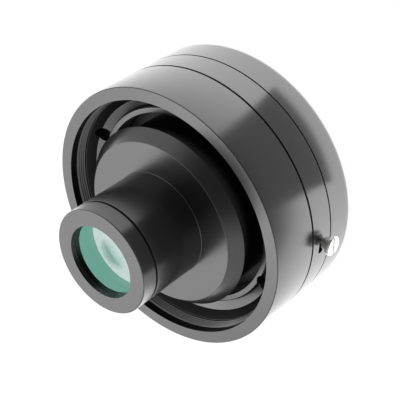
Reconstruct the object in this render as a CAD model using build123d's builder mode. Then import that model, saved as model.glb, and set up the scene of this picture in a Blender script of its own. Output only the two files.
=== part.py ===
from build123d import *
import os
from math import atan2, cos, degrees, hypot, radians, sin, sqrt

# Teleconverter that goes between a spotting scope and its eyepiece. It stands on its rear
# end, nose up: +Z is the optical axis, +X points at the release stud, and the origin is
# the centre of the rear face. Sizes are millimetres, angles degrees.

# Front lenses and the nose round them
lens_r = 9.6                 # front lenses
seat_fit = 0.05              # radial clearance of pieces that drop into a bore
spigot_wall = 1.55           # wall of the tube's spigot inside the cap
cap_wall = 1.0               # wall of the cap round that spigot
tube_thread_step = 0.4       # thread of the tube in the flange, inside the nose's radius
nose_rise = 18.15            # nose face above the flange face
cap_h = 3.96
cap_groove = 0.15            # bevel on each side of the joint between cap and tube
cap_lip_t = 1.5              # lip round the aperture
cap_lip_cover = 1.2          # edge of the front lens under that lip
cap_bevel = 0.28
seal_t = 1.0                 # thickness of the seal between spigot and lip
front_crown_edge = 1.4
front_flint_edge = 1.5
front_surface_r = 400.0      # radii of curvature of the front doublet, whose front is nearly flat
front_cement_r = 40.0
front_back_r = 52.0

# Baffle behind the front lenses
baffle_wall = 1.7
baffle_rim_w = 1.0           # rim that carries the lens
baffle_rim_h = 0.7
baffle_stop_r = 5.9          # small aperture behind the front doublet
baffle_stop_t = 0.5
baffle_rib_count = 6
baffle_rib_h = 0.8

# Rear lenses, behind a shoulder of the tube
tube_tail = 0.6              # tube below the boss
rear_lens_step = 1.0         # rear lenses are this much smaller in radius
tube_shoulder_w = 0.6        # shoulder that the rear crown lens seats on
tube_shoulder_t = 1.0
rear_crown_edge = 1.6
rear_flint_mid = 1.14        # thickness of the hollow lens on the axis
rear_surface_r = 40.0        # radii of curvature of the rear doublet
rear_cement_r = 24.0
rear_back_r = 26.0
lens_retainer_t = 2.0
lens_retainer_w = 1.2        # edge of the rear lens over the retaining ring
lens_retainer_depth = 1.9    # tube's rear end to that ring

# Nose flange, from the tube outwards
boss_wall = 2.6              # boss that holds the nose tube
boss_h = 7.15
neck_room = 2.6              # room between the boss and the neck
neck_wall = 2.8
flange_overhang = 1.45       # edge of the flange's cone outside the neck
flange_cone_w = 2.45
flange_cone_h = 2.79
flange_rise = 1.45           # flange face above the rim
flange_floor_t = 3.25        # thickness of the disc

# Inside of the front skirt, from the flange outwards
flange_gap = 0.85            # gap between the flange and the inner retaining ring
retainer_wall = 1.3
retainer_depth = 6.35        # rim to the face of the retaining ring
retainer_foot = 1.6          # retaining ring below the seat
retainer_bevel = 0.15
floor_w = 2.2
floor_depth = 6.23           # rim to the outer edge of the floor
floor_dish = 0.9             # drop of the floor towards its inner edge
floor_t = 2.97               # thickness at the outer edge of the floor
floor_cone_w = 1.6           # cone between the floor and the ribs
rib_pitch = 0.65
rib_height = 0.4
rib_count = 4
land_step = 0.05             # land outside the roots of the ribs
land_depth = 1.9             # rim to the ribbed band
rim_w = 2.95
rim_bevel = 0.15             # bevel of the rim's outer edge
seat_lip_w = 1.2             # lip by which the skirt clamps the seat ring
seat_lip_t = 0.8
pocket_r = 1.85              # round pockets that take a lock pin of the telescope
pocket_inset = 1.0           # pocket's centre inside the floor's outer edge
pocket_angle = 157.0
pocket_count = 2

# Barrel: three rings of one outside radius
skirt_h = 12.45              # visible height of the front skirt
middle_ring_h = 6.5          # visible height of the main housing
rear_ring_h = 8.25           # visible height of the rear ring
rear_edge_r = 4.25           # rounding of the rear edge
front_groove = 0.32          # bevel on each side of the joint between housing and skirt
rear_groove = 0.18           # bevel on each side of the joint between rear ring and housing
joint_wall = 3.0             # wall of the skirt round the housing's spigot

# Main housing, from the barrel's wall inwards
barrel_wall = 2.5
ring_room = 0.33             # room between that wall and the release ring
socket_wall = 3.7            # wall between the ring's channel and the rear socket
web_depth = 12.0             # rim to the web's front face
web_t = 2.6
well_clear = 0.5             # room round an eyepiece nose as wide as this nose
well_wall = 1.5
well_gap = 1.2               # gap between the well and the boss

# Release ring and stud
rear_spigot_h = 1.2          # spigot of the rear ring inside the housing
ring_h = 3.9
ring_side_play = 0.1
ring_fit = 0.07              # radial running clearance on the inner wall
ring_wall = 1.8
release_travel = 4.5         # turn of the release ring
stud_neck_r = 0.65
stud_slot_clear = 0.15
stud_gap = 0.7               # shank above the barrel
stud_shank_r = 1.38
stud_shank_h = 1.4
stud_head_r = 2.2
stud_head_h = 0.95
stud_head_bevel = 0.3
stud_groove_w = 0.5
stud_groove_depth = 0.4

# Lock pin and springs
pin_r = 1.0
pin_fit = 0.05               # radial running clearance of the pin
pin_travel = 1.4
pin_out = 1.3                # pin beyond the face of the bayonet plate
pin_angle = 157.0
pin_bevel = 0.25
pin_above_peg = 1.5
pin_bore_roof = 0.5          # pin's bore below the foot of the inner retaining ring
peg_r = 0.6
peg_clear = 0.15
lock_spring_r = 0.72         # coil's centre line
lock_spring_pitch = 0.664
return_angle = 250.0         # place of the return spring
return_spring_len = 5.0
return_spring_r = 0.7
return_spring_pitch = 0.77
spring_wire_r = 0.14
return_notch_depth = 2.6
return_lug_w = 1.5
return_lug_clear = 0.4
return_lug_root = 0.8        # lug inside each wall of the channel

# Rear mouth, bayonet plate and screws
mouth_step = 0.3             # mouth inside the wall that the release ring turns on
mouth_depth = 2.0            # rear face to the bayonet plate
mouth_bevel = 0.3
plate_t = 2.0
plate_w = 4.1                # plate between its claws
claw_reach = 1.0             # claws inside the rest of the plate
claw_count = 3
claw_size = 42.0             # angle that one claw covers
leaf_ledge = 0.7             # outer edge of a leaf spring that the rear ring traps
leaf_w = 1.9
leaf_t = 0.3
leaf_bow = 0.8
leaf_size = 34.0             # angle that one leaf covers
leaf_room = 1.4              # depth of their recess
small_screw_r = 0.8
small_head_r = 1.5
small_head_h = 1.1
plate_screw_len = 5.4
plate_screw_offset = -30.0   # angle from the lock pin to the first screw of the plate
housing_screw_len = 8.4
housing_screw_offset = 20.0
screw_count = 3              # screws of the plate, of the housing and of the tube
flange_screw_r = 1.0
flange_head_r = 1.9
flange_head_h = 1.4
flange_screw_len = 6.4
flange_screw_count = 4
flange_screw_angle = 45.0
head_clear = 0.1             # round and above the screw heads
grub_r = 1.25
grub_angle = 30.0
hex_r = 0.6                  # hexagon sockets, across the corners
hex_depth = 0.7

# Radii from the lens out to the barrel
aperture_r = lens_r - cap_lip_cover
baffle_rim_r = lens_r - baffle_rim_w
baffle_bore_r = lens_r - baffle_wall
lens_bore_r = lens_r + seat_fit
cap_bore_r = lens_bore_r + spigot_wall
nose_r = cap_bore_r + cap_wall
tube_thread_r = nose_r - tube_thread_step
boss_r = nose_r + boss_wall
neck_bore_r = boss_r + neck_room
neck_r = neck_bore_r + neck_wall
neck_mid_r = neck_r - neck_wall / 2
flange_r = neck_r + flange_overhang
flange_flat_r = flange_r - flange_cone_w
retainer_bore_r = flange_r + flange_gap
retainer_r = retainer_bore_r + retainer_wall
floor_r = retainer_r + floor_w
seat_lip_r = floor_r + seat_lip_w
pocket_pitch_r = floor_r - pocket_inset
rib_r = floor_r + floor_cone_w
rib_root_r = rib_r + rib_height
land_r = rib_root_r + land_step
body_r = land_r + rim_w

# Radii of the rear lenses and of the well for the eyepiece's nose
rear_lens_r = lens_r - rear_lens_step
rear_bore_r = rear_lens_r + seat_fit
tube_shoulder_r = rear_lens_r - tube_shoulder_w
lens_retainer_bore_r = rear_lens_r - lens_retainer_w
well_r = nose_r + well_clear
hub_r = well_r + well_wall

# Radii from the barrel inwards
spigot_r = body_r - joint_wall
channel_r = body_r - barrel_wall
ring_r = channel_r - ring_room
ring_bore_r = ring_r - ring_wall
ring_mid_r = (ring_bore_r + ring_r) / 2
bearing_r = ring_bore_r - ring_fit
socket_r = bearing_r - socket_wall
wall_mid_r = (socket_r + bearing_r) / 2
mouth_r = bearing_r - mouth_step
plate_r = mouth_r - seat_fit
plate_bore_r = mouth_r - plate_w
plate_pitch_r = (plate_bore_r + plate_r) / 2
claw_r = plate_bore_r - claw_reach
leaf_r = socket_r + leaf_ledge
stud_shank_z = body_r + stud_gap
stud_head_z = stud_shank_z + stud_shank_h
peg_slot_r = peg_r + peg_clear

# Heights along the axis, from the rear face up
joint_z = rear_ring_h + middle_ring_h
rim_z = joint_z + skirt_h
floor_z = rim_z - floor_depth
seat_z = floor_z - floor_t
lip_top_z = seat_z + seat_lip_t
rib_top_z = rim_z - land_depth
rib_end_z = rib_top_z - rib_count * rib_pitch
retainer_top_z = rim_z - retainer_depth
retainer_foot_z = seat_z - retainer_foot
flange_z = rim_z + flange_rise
flange_edge_z = flange_z - flange_cone_h
flange_floor_z = flange_z - flange_floor_t
boss_z = flange_z - boss_h
nose_z = flange_z + nose_rise
cap_z = nose_z - cap_h
lip_z = nose_z - cap_lip_t
spigot_top_z = lip_z - seal_t
tube_z = boss_z - tube_tail
rear_back_z = tube_z + lens_retainer_depth + lens_retainer_t
rear_cement_rise = rear_cement_r - sqrt(rear_cement_r**2 - rear_lens_r**2)
rear_back_rise = rear_back_r - sqrt(rear_back_r**2 - rear_lens_r**2)
rear_joint_z = rear_back_z + rear_flint_mid + rear_cement_rise + rear_back_rise
rear_lens_z = rear_joint_z + rear_crown_edge
baffle_z = rear_lens_z + tube_shoulder_t
web_z = rim_z - web_depth
web_bottom_z = web_z - web_t
well_top_z = boss_z - well_gap
plate_back_z = mouth_depth + plate_t
ring_floor_z = rear_ring_h + rear_spigot_h
ring_z = ring_floor_z + ring_side_play
ring_top_z = ring_z + ring_h
channel_top_z = ring_top_z + ring_side_play
stud_z = ring_z + ring_h / 2
peg_z = stud_z - pin_travel / 2
pin_tip_z = mouth_depth - pin_out
pin_top_z = peg_z + pin_above_peg
pin_bore_top_z = retainer_foot_z - pin_bore_roof
housing_head_z = plate_back_z + head_clear
housing_screw_top_z = housing_head_z + small_head_h + housing_screw_len
flange_head_z = web_bottom_z + head_clear
flange_screw_top_z = flange_head_z + flange_head_h + flange_screw_len
grub_z = (boss_z + flange_floor_z) / 2
notch_mid_z = ring_top_z - return_notch_depth / 2

# Angles round the axis
claw_angle = pin_angle + 180 / claw_count
plate_screw_angle = pin_angle + plate_screw_offset
housing_screw_angle = pin_angle + housing_screw_offset
countersink_h = small_head_r - small_screw_r


def section(*points):
    """Closed section through the axis, given as (radius, height) corners."""
    with BuildSketch(Plane.XZ) as face:
        with BuildLine():
            Polyline(*points, close=True)
        make_face()
    return face.sketch


def dome(radius, edge_r, curvature_r):
    """Height of a spherical face above its edge; a negative curvature hangs down."""
    rise = sqrt(curvature_r**2 - radius**2) - sqrt(curvature_r**2 - edge_r**2)
    return rise if curvature_r > 0 else -rise


def lens_section(radius, top_z, top_r, bottom_z, bottom_r):
    """Half section of a lens from the heights of its edges and its two curvatures."""
    top = [(r, top_z + dome(r, radius, top_r)) for r in (radius, radius / 2, 0)]
    bottom = [(r, bottom_z + dome(r, radius, bottom_r)) for r in (0, radius / 2, radius)]
    with BuildSketch(Plane.XZ) as face:
        with BuildLine():
            ThreePointArc(*top)
            Line(top[-1], bottom[0])
            ThreePointArc(*bottom)
            Line(bottom[-1], top[0])
        make_face()
    return face.sketch


def outward_plane(angle, radius, height):
    """Plane that faces outwards at an angle round the axis, with its x along the turn."""
    a = radians(angle)
    return Plane(
        origin=(radius * cos(a), radius * sin(a), height),
        x_dir=(-sin(a), cos(a), 0),
        z_dir=(cos(a), sin(a), 0),
    )


def discs(radius, height, pitch_r, count, angle):
    """Round sketch, or a ring of them, at a height: the shape of holes and screws."""
    with BuildSketch(Plane.XY.offset(height)) as face:
        with PolarLocations(pitch_r, count, start_angle=angle):
            Circle(radius)
    return face.sketch


def spring(middle, length, coil_r, pitch):
    """Round wire coil along the z of a plane, centred on its origin."""
    height = length - 2 * spring_wire_r
    start = middle.offset(-height / 2)
    with BuildPart() as coil:
        with BuildLine() as path:
            Helix(pitch, height, coil_r, center=start.origin, direction=start.z_dir)
        with BuildSketch(Plane(origin=path.line @ 0, z_dir=path.line % 0)):
            Circle(spring_wire_r)
        sweep(is_frenet=True)
    return coil.part


# Front skirt, with its ribbed band and the outer part of the two pockets

with BuildPart() as front_skirt:
    ribs = []
    for i in range(rib_count):
        ribs.append((rib_root_r, rib_top_z - i * rib_pitch))
        ribs.append((rib_r, rib_top_z - (i + 0.5) * rib_pitch))
    revolve(
        section(
            (spigot_r, joint_z),
            (body_r - front_groove, joint_z),
            (body_r, joint_z + front_groove),
            (body_r, rim_z - rim_bevel),
            (body_r - rim_bevel, rim_z),
            (land_r, rim_z),
            (land_r, rib_top_z),
            *ribs,
            (rib_root_r, rib_end_z),
            (rib_r, rib_end_z),
            (floor_r, floor_z),
            (floor_r, lip_top_z),
            (seat_lip_r, lip_top_z),
            (seat_lip_r, seat_z),
            (spigot_r, seat_z),
        ),
        axis=Axis.Z,
    )
    extrude(
        discs(pocket_r, lip_top_z, pocket_pitch_r, pocket_count, pocket_angle),
        amount=floor_depth,
        mode=Mode.SUBTRACT,
    )
front_skirt.part.label = "front_skirt"
export_step(front_skirt.part, "parts/front_skirt.step")

# Floor of the skirt, clamped by its lip

with BuildPart() as seat_ring:
    inner_r = retainer_r + seat_fit
    revolve(
        section(
            (inner_r, seat_z),
            (seat_lip_r, seat_z),
            (seat_lip_r, lip_top_z),
            (floor_r, lip_top_z),
            (floor_r, floor_z),
            (inner_r, floor_z - floor_dish),
        ),
        axis=Axis.Z,
    )
    extrude(
        discs(pocket_r, lip_top_z, pocket_pitch_r, pocket_count, pocket_angle),
        amount=floor_depth,
        mode=Mode.SUBTRACT,
    )
seat_ring.part.label = "seat_ring"
export_step(seat_ring.part, "parts/seat_ring.step")

# Retaining ring that stands inside the floor

with BuildPart() as ring_retainer:
    revolve(
        section(
            (retainer_bore_r, retainer_foot_z),
            (retainer_r, retainer_foot_z),
            (retainer_r, retainer_top_z - retainer_bevel),
            (retainer_r - retainer_bevel, retainer_top_z),
            (retainer_bore_r + retainer_bevel, retainer_top_z),
            (retainer_bore_r, retainer_top_z - retainer_bevel),
        ),
        axis=Axis.Z,
    )
    extrude(
        discs(pocket_r, lip_top_z, pocket_pitch_r, pocket_count, pocket_angle),
        amount=floor_depth,
        mode=Mode.SUBTRACT,
    )
ring_retainer.part.label = "ring_retainer"
export_step(ring_retainer.part, "parts/ring_retainer.step")

# Main housing: barrel ring, spigot, channel of the release ring, web and well

with BuildPart() as main_housing:
    revolve(
        section(
            (body_r - rear_groove, rear_ring_h),
            (body_r, rear_ring_h + rear_groove),
            (body_r, joint_z - front_groove),
            (body_r - front_groove, joint_z),
            (spigot_r, joint_z),
            (spigot_r, seat_z),
            (retainer_r, seat_z),
            (retainer_r, retainer_foot_z),
            (retainer_bore_r, retainer_foot_z),
            (retainer_bore_r, web_z),
            (hub_r, web_z),
            (hub_r, well_top_z),
            (well_r, well_top_z),
            (well_r, web_bottom_z),
            (socket_r, web_bottom_z),
            (socket_r, ring_floor_z),
            (bearing_r, ring_floor_z),
            (bearing_r, channel_top_z),
            (channel_r, channel_top_z),
            (channel_r, rear_ring_h),
        ),
        axis=Axis.Z,
    )
    # Slot of the release stud, through the barrel wall
    with BuildSketch(outward_plane(-release_travel / 2, channel_r - seat_fit, stud_z)):
        SlotCenterToCenter(
            2 * body_r * sin(radians(release_travel / 2)),
            2 * (stud_neck_r + stud_slot_clear),
        )
    extrude(amount=body_r - channel_r + 2 * seat_fit, mode=Mode.SUBTRACT)
    # Bore of the lock pin and its spring, and the slot of the pin's peg
    extrude(
        discs(pin_r + pin_fit, ring_floor_z, wall_mid_r, 1, pin_angle),
        amount=pin_bore_top_z - ring_floor_z,
        mode=Mode.SUBTRACT,
    )
    peg_top_z = peg_z + pin_travel
    with BuildSketch(outward_plane(pin_angle, wall_mid_r, (ring_floor_z + peg_top_z) / 2)):
        SlotCenterToCenter(peg_top_z - ring_floor_z, 2 * peg_slot_r, rotation=90)
    extrude(amount=ring_mid_r - wall_mid_r, mode=Mode.SUBTRACT)
    # Lug that the return spring pushes against
    lug_h = return_notch_depth - return_lug_clear
    lug_mid_z = channel_top_z - lug_h / 2
    with BuildSketch(outward_plane(return_angle, bearing_r - return_lug_root, lug_mid_z)):
        with Locations((-(return_spring_len + return_lug_w) / 2, 0)):
            Rectangle(return_lug_w, lug_h)
    extrude(amount=channel_r - bearing_r + 2 * return_lug_root)
    # Holes for the housing screws and the flange screws
    extrude(
        discs(small_screw_r, ring_floor_z, wall_mid_r, screw_count, housing_screw_angle),
        amount=housing_screw_top_z - ring_floor_z,
        mode=Mode.SUBTRACT,
    )
    extrude(
        discs(
            flange_head_r + head_clear,
            web_bottom_z,
            neck_mid_r,
            flange_screw_count,
            flange_screw_angle,
        ),
        amount=flange_head_h + head_clear,
        mode=Mode.SUBTRACT,
    )
    extrude(
        discs(flange_screw_r, web_bottom_z, neck_mid_r, flange_screw_count, flange_screw_angle),
        amount=web_t,
        mode=Mode.SUBTRACT,
    )
main_housing.part.label = "main_housing"
export_step(main_housing.part, "parts/main_housing.step")

# Nose flange: disc with a conical edge, neck and boss for the nose tube

with BuildPart() as nose_flange:
    revolve(
        section(
            (tube_thread_r, flange_z),
            (flange_flat_r, flange_z),
            (flange_r, flange_edge_z),
            (neck_r, flange_edge_z),
            (neck_r, web_z),
            (neck_bore_r, web_z),
            (neck_bore_r, flange_floor_z),
            (boss_r, flange_floor_z),
            (boss_r, boss_z),
            (tube_thread_r, boss_z),
        ),
        axis=Axis.Z,
    )
    extrude(
        discs(flange_screw_r, web_z, neck_mid_r, flange_screw_count, flange_screw_angle),
        amount=flange_screw_top_z - web_z,
        mode=Mode.SUBTRACT,
    )
    for i in range(screw_count):
        with BuildSketch(outward_plane(grub_angle + i * 360 / screw_count, tube_thread_r, grub_z)):
            Circle(grub_r)
        extrude(amount=boss_r - tube_thread_r, mode=Mode.SUBTRACT)
nose_flange.part.label = "nose_flange"
export_step(nose_flange.part, "parts/nose_flange.step")

# Grub screws that lock the nose tube in the flange

with BuildPart() as tube_grub_screws:
    for i in range(screw_count):
        with BuildSketch(outward_plane(grub_angle + i * 360 / screw_count, tube_thread_r, grub_z)):
            Circle(grub_r)
        extrude(amount=boss_r - tube_thread_r)
        with BuildSketch(outward_plane(grub_angle + i * 360 / screw_count, boss_r, grub_z)):
            RegularPolygon(hex_r, 6)
        extrude(amount=-hex_depth, mode=Mode.SUBTRACT)
tube_grub_screws.part.label = "tube_grub_screws"
export_step(tube_grub_screws.part, "parts/tube_grub_screws.step")

# Screws that hold the flange's neck on the web

with BuildPart() as flange_screws:
    extrude(
        discs(flange_head_r, flange_head_z, neck_mid_r, flange_screw_count, flange_screw_angle),
        amount=flange_head_h,
    )
    extrude(
        discs(flange_screw_r, flange_head_z, neck_mid_r, flange_screw_count, flange_screw_angle),
        amount=flange_head_h + flange_screw_len,
    )
    with BuildSketch(Plane.XY.offset(flange_head_z)):
        with PolarLocations(neck_mid_r, flange_screw_count, start_angle=flange_screw_angle):
            RegularPolygon(2 * hex_r, 6)
    extrude(amount=hex_depth, mode=Mode.SUBTRACT)
flange_screws.part.label = "flange_screws"
export_step(flange_screws.part, "parts/flange_screws.step")

# Nose tube, with the shoulder between the front and the rear lenses

with BuildPart() as nose_tube:
    crown_top_z = lip_z - dome(aperture_r, lens_r, front_surface_r)
    crown_z = crown_top_z - front_crown_edge
    flint_z = crown_z - front_flint_edge
    baffle_top_z = flint_z + dome(baffle_rim_r, lens_r, -front_back_r)
    revolve(
        section(
            (rear_bore_r, tube_z),
            (tube_thread_r, tube_z),
            (tube_thread_r, flange_z),
            (nose_r, flange_z),
            (nose_r, cap_z - cap_groove),
            (nose_r - cap_groove, cap_z),
            (cap_bore_r, cap_z),
            (cap_bore_r, spigot_top_z),
            (lens_bore_r, spigot_top_z),
            (lens_bore_r, baffle_z),
            (tube_shoulder_r, baffle_z),
            (tube_shoulder_r, rear_lens_z),
            (rear_bore_r, rear_lens_z),
        ),
        axis=Axis.Z,
    )
nose_tube.part.label = "nose_tube"
export_step(nose_tube.part, "parts/nose_tube.step")

# Cap that carries the aperture and holds the front lens

with BuildPart() as nose_cap:
    revolve(
        section(
            (cap_bore_r, cap_z),
            (nose_r - cap_groove, cap_z),
            (nose_r, cap_z + cap_groove),
            (nose_r, nose_z - cap_bevel),
            (nose_r - cap_bevel, nose_z),
            (aperture_r, nose_z),
            (aperture_r, lip_z),
            (cap_bore_r, lip_z),
        ),
        axis=Axis.Z,
    )
nose_cap.part.label = "nose_cap"
export_step(nose_cap.part, "parts/nose_cap.step")

# Seal between the tube's spigot and the cap's lip

with BuildPart() as front_lens_seal:
    with BuildSketch(Plane.XZ):
        with Locations(((lens_bore_r + cap_bore_r) / 2, lip_z - seal_t / 2)):
            Circle(seal_t / 2)
    revolve(axis=Axis.Z)
front_lens_seal.part.label = "front_lens_seal"
export_step(front_lens_seal.part, "parts/front_lens_seal.step")

# Front doublet

with BuildPart() as front_crown_lens:
    revolve(
        lens_section(lens_r, crown_top_z, front_surface_r, crown_z, -front_cement_r),
        axis=Axis.Z,
    )
front_crown_lens.part.label = "front_crown_lens"
export_step(front_crown_lens.part, "parts/front_crown_lens.step")

with BuildPart() as front_flint_lens:
    revolve(
        lens_section(lens_r, crown_z, -front_cement_r, flint_z, -front_back_r),
        axis=Axis.Z,
    )
front_flint_lens.part.label = "front_flint_lens"
export_step(front_flint_lens.part, "parts/front_flint_lens.step")

# Baffle tube behind the front doublet, ribbed against stray light

with BuildPart() as baffle_tube:
    stop_z = baffle_top_z - baffle_rim_h
    first_rib_z = stop_z - baffle_stop_t
    rib_step = (first_rib_z - baffle_z) / baffle_rib_count
    grooves = []
    for i in range(baffle_rib_count):
        grooves.append((baffle_bore_r + baffle_rib_h, first_rib_z - i * rib_step))
        grooves.append((baffle_bore_r, first_rib_z - (i + 1) * rib_step))
    revolve(
        section(
            (lens_r, baffle_z),
            (lens_r, baffle_top_z),
            (baffle_rim_r, baffle_top_z),
            (baffle_rim_r, stop_z),
            (baffle_stop_r, stop_z),
            (baffle_stop_r, first_rib_z),
            *grooves,
        ),
        axis=Axis.Z,
    )
baffle_tube.part.label = "baffle_tube"
export_step(baffle_tube.part, "parts/baffle_tube.step")

# Rear doublet and its retaining ring

with BuildPart() as rear_crown_lens:
    revolve(
        lens_section(rear_lens_r, rear_lens_z, -rear_surface_r, rear_joint_z, -rear_cement_r),
        axis=Axis.Z,
    )
rear_crown_lens.part.label = "rear_crown_lens"
export_step(rear_crown_lens.part, "parts/rear_crown_lens.step")

with BuildPart() as rear_flint_lens:
    revolve(
        lens_section(rear_lens_r, rear_joint_z, -rear_cement_r, rear_back_z, rear_back_r),
        axis=Axis.Z,
    )
rear_flint_lens.part.label = "rear_flint_lens"
export_step(rear_flint_lens.part, "parts/rear_flint_lens.step")

with BuildPart() as lens_retainer:
    revolve(
        section(
            (lens_retainer_bore_r, rear_back_z - lens_retainer_t),
            (rear_bore_r, rear_back_z - lens_retainer_t),
            (rear_bore_r, rear_back_z),
            (lens_retainer_bore_r, rear_back_z),
        ),
        axis=Axis.Z,
    )
lens_retainer.part.label = "lens_retainer"
export_step(lens_retainer.part, "parts/lens_retainer.step")

# Release ring: it turns on the inner wall of the channel

with BuildPart() as release_ring:
    revolve(
        section(
            (ring_bore_r, ring_z),
            (ring_r, ring_z),
            (ring_r, ring_top_z),
            (ring_bore_r, ring_top_z),
        ),
        axis=Axis.Z,
    )
    # Hole of the stud
    with BuildSketch(outward_plane(0, ring_mid_r, stud_z)):
        Circle(stud_neck_r)
    extrude(amount=ring_wall, both=True, mode=Mode.SUBTRACT)
    # Inclined slot that lifts the peg of the lock pin
    cam_run = 2 * ring_mid_r * sin(radians(release_travel / 2))
    with BuildSketch(outward_plane(pin_angle + release_travel / 2, ring_mid_r, stud_z)):
        SlotCenterToCenter(
            hypot(cam_run, pin_travel),
            2 * peg_slot_r,
            rotation=degrees(atan2(pin_travel, cam_run)),
        )
    extrude(amount=ring_wall, both=True, mode=Mode.SUBTRACT)
    # Notch of the return spring and of the housing's lug
    notch_w = return_spring_len + return_lug_w + return_lug_clear
    with BuildSketch(outward_plane(return_angle, ring_mid_r, notch_mid_z)):
        with Locations(((return_spring_len - notch_w) / 2, 0)):
            Rectangle(notch_w, return_notch_depth)
    extrude(amount=ring_wall, both=True, mode=Mode.SUBTRACT)
release_ring.part.label = "release_ring"
export_step(release_ring.part, "parts/release_ring.step")

# Return spring, between the housing's lug and the end of the notch

return_plane = outward_plane(return_angle, ring_mid_r, notch_mid_z)
return_spring = spring(
    Plane(origin=return_plane.origin, z_dir=return_plane.x_dir),
    return_spring_len - 2 * seat_fit,
    return_spring_r,
    return_spring_pitch,
)
return_spring.label = "return_spring"
export_step(return_spring, "parts/return_spring.step")

# Release stud: neck in the slot, shank and slotted head above the barrel

with BuildPart() as release_stud:
    with BuildSketch(outward_plane(0, ring_bore_r + seat_fit, stud_z)):
        Circle(stud_neck_r)
    extrude(amount=stud_shank_z - ring_bore_r - seat_fit)
    with BuildSketch(outward_plane(0, stud_shank_z, stud_z)):
        Circle(stud_shank_r)
    extrude(amount=stud_shank_h)
    with BuildSketch(outward_plane(0, stud_head_z, stud_z)):
        Circle(stud_head_r)
    extrude(amount=stud_head_h)
    chamfer(release_stud.edges().sort_by(Axis.X)[-1], stud_head_bevel)
    with BuildSketch(outward_plane(0, stud_head_z + stud_head_h, stud_z)):
        Rectangle(2 * stud_head_r, stud_groove_w)
    extrude(amount=-stud_groove_depth, mode=Mode.SUBTRACT)
release_stud.part.label = "release_stud"
export_step(release_stud.part, "parts/release_stud.step")

# Lock pin with its cross peg

with BuildPart() as lock_pin:
    extrude(discs(pin_r, pin_tip_z, wall_mid_r, 1, pin_angle), amount=pin_top_z - pin_tip_z)
    chamfer(lock_pin.edges().group_by(Axis.Z)[0], pin_bevel)
    with BuildSketch(outward_plane(pin_angle, wall_mid_r, peg_z)):
        Circle(peg_r)
    extrude(amount=ring_r - wall_mid_r)
lock_pin.part.label = "lock_pin"
export_step(lock_pin.part, "parts/lock_pin.step")

# Spring that pushes the lock pin out

pin_bore_plane = outward_plane(pin_angle, wall_mid_r, (pin_top_z + pin_bore_top_z) / 2)
lock_spring = spring(
    Plane(origin=pin_bore_plane.origin, z_dir=(0, 0, 1)),
    pin_bore_top_z - pin_top_z,
    lock_spring_r,
    lock_spring_pitch,
)
lock_spring.label = "lock_spring"
export_step(lock_spring, "parts/lock_spring.step")

# Rear ring: rounded end, mouth, and the inner flange under the bayonet plate

with BuildPart() as rear_ring:
    revolve(
        section(
            (mouth_r + mouth_bevel, 0),
            (body_r, 0),
            (body_r, rear_ring_h - rear_groove),
            (body_r - rear_groove, rear_ring_h),
            (channel_r, rear_ring_h),
            (channel_r, ring_floor_z),
            (socket_r, ring_floor_z),
            (socket_r, plate_back_z + leaf_room),
            (leaf_r + seat_fit, plate_back_z + leaf_room),
            (leaf_r + seat_fit, plate_back_z),
            (mouth_r, plate_back_z),
            (mouth_r, mouth_bevel),
        ),
        axis=Axis.Z,
    )
    fillet(
        rear_ring.edges().group_by(Axis.Z)[0].sort_by(SortBy.RADIUS)[-1],
        radius=min(rear_edge_r, body_r - mouth_r - 2 * mouth_bevel),
    )
    extrude(
        discs(pin_r + pin_fit, plate_back_z, wall_mid_r, 1, pin_angle),
        amount=ring_floor_z - plate_back_z,
        mode=Mode.SUBTRACT,
    )
    extrude(
        discs(small_screw_r, plate_back_z, plate_pitch_r, screw_count, plate_screw_angle),
        amount=plate_screw_len - plate_t,
        mode=Mode.SUBTRACT,
    )
    extrude(
        discs(small_screw_r, plate_back_z, wall_mid_r, screw_count, housing_screw_angle),
        amount=ring_floor_z - plate_back_z,
        mode=Mode.SUBTRACT,
    )
    extrude(
        discs(small_head_r, plate_back_z, wall_mid_r, screw_count, housing_screw_angle),
        amount=small_head_h + head_clear,
        mode=Mode.SUBTRACT,
    )
rear_ring.part.label = "rear_ring"
export_step(rear_ring.part, "parts/rear_ring.step")

# Screws that hold the rear ring to the housing, under the bayonet plate

with BuildPart() as housing_screws:
    extrude(
        discs(small_head_r, housing_head_z, wall_mid_r, screw_count, housing_screw_angle),
        amount=small_head_h,
    )
    extrude(
        discs(small_screw_r, housing_head_z, wall_mid_r, screw_count, housing_screw_angle),
        amount=small_head_h + housing_screw_len,
    )
    with BuildSketch(Plane.XY.offset(housing_head_z)):
        with PolarLocations(wall_mid_r, screw_count, start_angle=housing_screw_angle):
            RegularPolygon(hex_r, 6)
    extrude(amount=hex_depth, mode=Mode.SUBTRACT)
housing_screws.part.label = "housing_screws"
export_step(housing_screws.part, "parts/housing_screws.step")

# Bayonet plate with its claws

with BuildPart() as bayonet_plate:
    with BuildSketch(Plane.XY.offset(mouth_depth)):
        Circle(plate_r)
        Circle(claw_r, mode=Mode.SUBTRACT)
    extrude(amount=plate_t)
    gap_size = 360 / claw_count - claw_size
    for i in range(claw_count):
        gap_angle = claw_angle + claw_size / 2 + i * 360 / claw_count
        with Locations((0, 0, mouth_depth)):
            Cylinder(
                plate_bore_r,
                plate_t,
                arc_size=gap_size,
                rotation=(0, 0, gap_angle),
                align=None,
                mode=Mode.SUBTRACT,
            )
    extrude(
        discs(pin_r + pin_fit, mouth_depth, wall_mid_r, 1, pin_angle),
        amount=plate_t,
        mode=Mode.SUBTRACT,
    )
    extrude(
        discs(small_screw_r, mouth_depth, plate_pitch_r, screw_count, plate_screw_angle),
        amount=plate_t,
        mode=Mode.SUBTRACT,
    )
    with Locations(Plane.XY.offset(mouth_depth)):
        with PolarLocations(plate_pitch_r, screw_count, start_angle=plate_screw_angle):
            Cone(small_head_r, small_screw_r, countersink_h, align=None, mode=Mode.SUBTRACT)
bayonet_plate.part.label = "bayonet_plate"
export_step(bayonet_plate.part, "parts/bayonet_plate.step")

# Countersunk screws of the bayonet plate

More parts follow.
